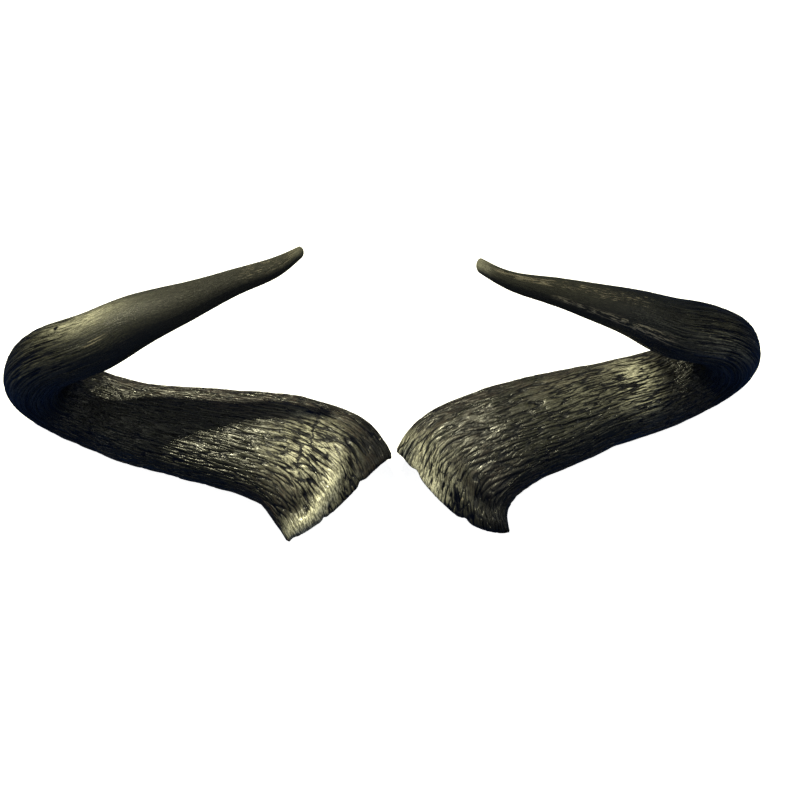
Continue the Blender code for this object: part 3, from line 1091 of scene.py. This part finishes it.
# %% Gloss and fine relief
DARK_GROUND_ROUGHNESS = 0.4
OLIVE_GROUND_ROUGHNESS = 0.23
TIP_IS_DULL = (395, 470, 0.0, 0.55)
BROWN_IS_DULLER = 0.14
HOLLOW_IS_DULLER = 0.35
RELIEF_HEIGHT = 0.23 * MM
OPEN_CRACK_RELIEF = 1.6


def horn_roughness(finish, patterns, brown):
    rough = finish.ramp(patterns["tone"], 0.0, 1.0, DARK_GROUND_ROUGHNESS, OLIVE_GROUND_ROUGHNESS)
    dull_tip = finish.ramp(finish.mask("along"), *TIP_IS_DULL)
    between_grit = finish.ramp(patterns["grit"], 0.5, 0.66, 1.0, 0.2)
    rough = finish.plus(rough, finish.times(dull_tip, between_grit))
    rough = finish.plus(rough, finish.times(brown, BROWN_IS_DULLER))
    return finish.plus(rough, finish.times(finish.mask("inside"), HOLLOW_IS_DULLER))


def horn_relief(finish, patterns, rough_skin, cracks, open_cracks, dark_marks):
    height = finish.times(patterns["fibre"], finish.plus(rough_skin, 0.4))
    height = finish.minus(height, cracks)
    grit = finish.times(patterns["grit"], finish.plus(finish.mask("worn"), 0.7))
    height = finish.plus(height, finish.plus(grit, finish.times(patterns["fleck"], 0.5)))
    height = finish.minus(height, dark_marks)
    return finish.minus(height, finish.times(open_cracks, OPEN_CRACK_RELIEF))


print("the relief is up to", round(RELIEF_HEIGHT / MM, 2), "mm deep")

# %% The whole finish


def horn_finish(name, scars):
    """Old horn, with the scars of one horn."""
    finish = Finish(name)
    patterns = horn_patterns(finish)
    rough_skin = finish.stronger(finish.mask("bark"), SMOOTH_SKIN)
    cracks = fine_cracks(finish, patterns, rough_skin)
    dark_marks, pale_marks = scars(finish, patterns["speckle"], patterns["fibre"])
    open_cracks = finish.ramp(finish.mask("crack"), 0.28, 0.58)
    # The scars together with the patches of painted shade.
    scars_and_painted_shade = finish.stronger(dark_marks, finish.mask("painted_shade"))
    # Everything painted black: cracks, scars and painted shade.
    dug = finish.stronger(finish.stronger(open_cracks, cracks), scars_and_painted_shade)
    brown = finish.times(finish.mask("brown"), finish.ramp(patterns["mottle"], 0.35, 0.6))
    shader = finish.shader.inputs
    shader["Specular IOR Level"].default_value = 0.5
    finish.put(shader["Base Color"], horn_colour(finish, patterns, brown, dug, pale_marks))
    finish.put(shader["Roughness"], horn_roughness(finish, patterns, brown))
    relief = horn_relief(finish, patterns, rough_skin, cracks, open_cracks, dark_marks)
    finish.put(shader["Normal"], finish.bump(relief, RELIEF_HEIGHT))
    print("the finish of the", name, "has", len(finish.nodes), "nodes")
    return finish.material


# %% [markdown]
# ## Scars
#
# Each horn has its own marks: a deep crack across the grain, a pit, pale scuffs along the keel,
# a few bright specks. They could be painted on a picture, but then they would blur close up.
# Here each mark is a small sum in the finish that knows how far along and how far around it is.
# So a mark is given by its place along in mm, the angle that it faces in degrees, the horn's
# radius there in mm, and its own size.

# %% How far a place is from a mark


def off_to_the_side(finish, facing, radius):
    """How many mm round the horn a place is from a facing, and whether it is on the same side."""
    cosine, sine = math.cos(math.radians(facing)), math.sin(math.radians(facing))
    across, up = finish.mask("facing_x"), finish.mask("facing_y")
    aside = finish.minus(finish.times(up, cosine), finish.times(across, sine))
    towards = finish.plus(finish.times(across, cosine), finish.times(up, sine))
    return finish.times(aside, radius), finish.ramp(towards, 0.0, 0.2)


def within(finish, value, middle, reach, soft):
    """1 where a value lies within reach of the middle, with a soft edge."""
    off = finish.maths("ABSOLUTE", finish.minus(value, middle))
    return finish.ramp(off, reach - soft, reach + soft, 1.0, 0.0)


print("a place 5 degrees round a leg 50 mm thick is", round(50 / 2 * math.radians(5), 1), "mm off")

# %% Pits, cracks and scuffs
WANDER = 7.0


def pit(finish, along, facing, radius, size):
    """A round mark of a size in mm."""
    aside, same_side = off_to_the_side(finish, facing, radius)
    ahead = finish.minus(finish.mask("along"), along)
    squares = finish.plus(finish.times(ahead, ahead), finish.times(aside, aside))
    spot = finish.ramp(finish.maths("SQRT", squares), 0.5 * size, size, 1.0, 0.0)
    return finish.times(spot, same_side)


def cross_crack(finish, along, facing, radius, reach, slope, width, wander):
    """A crack that runs across the grain, leaning by its slope and wandering a little."""
    aside, same_side = off_to_the_side(finish, facing, radius)
    leaning = finish.plus(finish.times(aside, slope), along)
    middle = finish.plus(leaning, finish.times(finish.minus(wander, 0.5), WANDER))
    line = within(finish, finish.mask("along"), middle, width, 0.4 * width)
    return finish.times(finish.times(line, same_side), within(finish, aside, 0, reach, 1.0))


def scuffs(finish, along, reach, facing, radius, width, flecks, rarity):
    """Pale flecks in a band that runs along the horn."""
    aside, same_side = off_to_the_side(finish, facing, radius)
    band = finish.times(within(finish, aside, 0, width, 0.5 * width), same_side)
    band = finish.times(band, within(finish, finish.mask("along"), along, reach, 8.0))
    return finish.times(band, finish.ramp(flecks, rarity, rarity + 0.06))


def strongest(finish, marks):
    total = marks[0]
    for mark in marks[1:]:
        total = finish.stronger(total, mark)
    return total


print("a crack wanders up to", WANDER / 2, "mm to either side")

# %% Scars of the left horn


def left_scars(finish, speckle, fibre):
    """A long cross crack behind the lip, two pits by the bend, and scuffs near the tip."""
    dark = [
        cross_crack(finish, 56.3, 130, 48, 9, 0.09, 1.9, speckle),
        cross_crack(finish, 53.8, 114, 50, 9, 0.22, 1.2, speckle),
        cross_crack(finish, 49.0, 98, 50, 7, 0.6, 0.95, speckle),
        cross_crack(finish, 45.0, 79, 50, 9, 0.6, 1.1, speckle),
        pit(finish, 356.8, 260, 26, 2.8),
        pit(finish, 328.5, 256, 28, 2.2),
    ]
    pale = [
        scuffs(finish, 528, 24, 285, 14, 9, fibre, 0.6),
        scuffs(finish, 384, 5, 316, 24, 1.6, fibre, 0.52),
    ]
    return strongest(finish, dark), strongest(finish, pale)


left_piece.data.materials.append(horn_finish("left horn keratin", left_scars))

# %% Scars of the right horn


def right_scars(finish, speckle, fibre):
    """A broken notch in the rim, scuffs along the keel and the tip leg, and bright specks."""
    dark = [
        pit(finish, -4.0, 84, 50, 3.2),
        cross_crack(finish, -7, 78, 50, 4.0, -1.5, 0.9, speckle),
    ]
    pale = [
        scuffs(finish, 416, 50, 331, 22, 4, fibre, 0.52),
        scuffs(finish, 432, 40, 264, 22, 6, fibre, 0.6),
        scuffs(finish, 492, 22, 269, 14, 3, fibre, 0.52),
        pit(finish, -0.6, 80, 50, 1.9),
        pit(finish, 295.9, 284.5, 28, 1.4),
        pit(finish, 336.6, 303, 26, 1.1),
        pit(finish, 316.2, 345.5, 27, 1.0),
    ]
    return strongest(finish, dark), strongest(finish, pale)


right_piece.data.materials.append(horn_finish("right horn keratin", right_scars))

# %% [markdown]
# ## Hand the pieces over
#
# Each skin stands for one plain horn of the frame and lies where that horn lies. The two plain
# horns could be kept underneath, but they would show through in the deepest cracks, so each skin
# replaces its own.

# %% Ride, replace and measure
for piece, node in ((left_piece, "horn_left"), (right_piece, "horn_right")):
    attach(piece, "root")
    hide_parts(node)

low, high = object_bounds()
differences = [abs(new - old) for new, old in zip([*low, *high], [*cad_low, *cad_high])]
print("largest difference from the frame's box:", round(max(differences) / MM, 2), "mm")
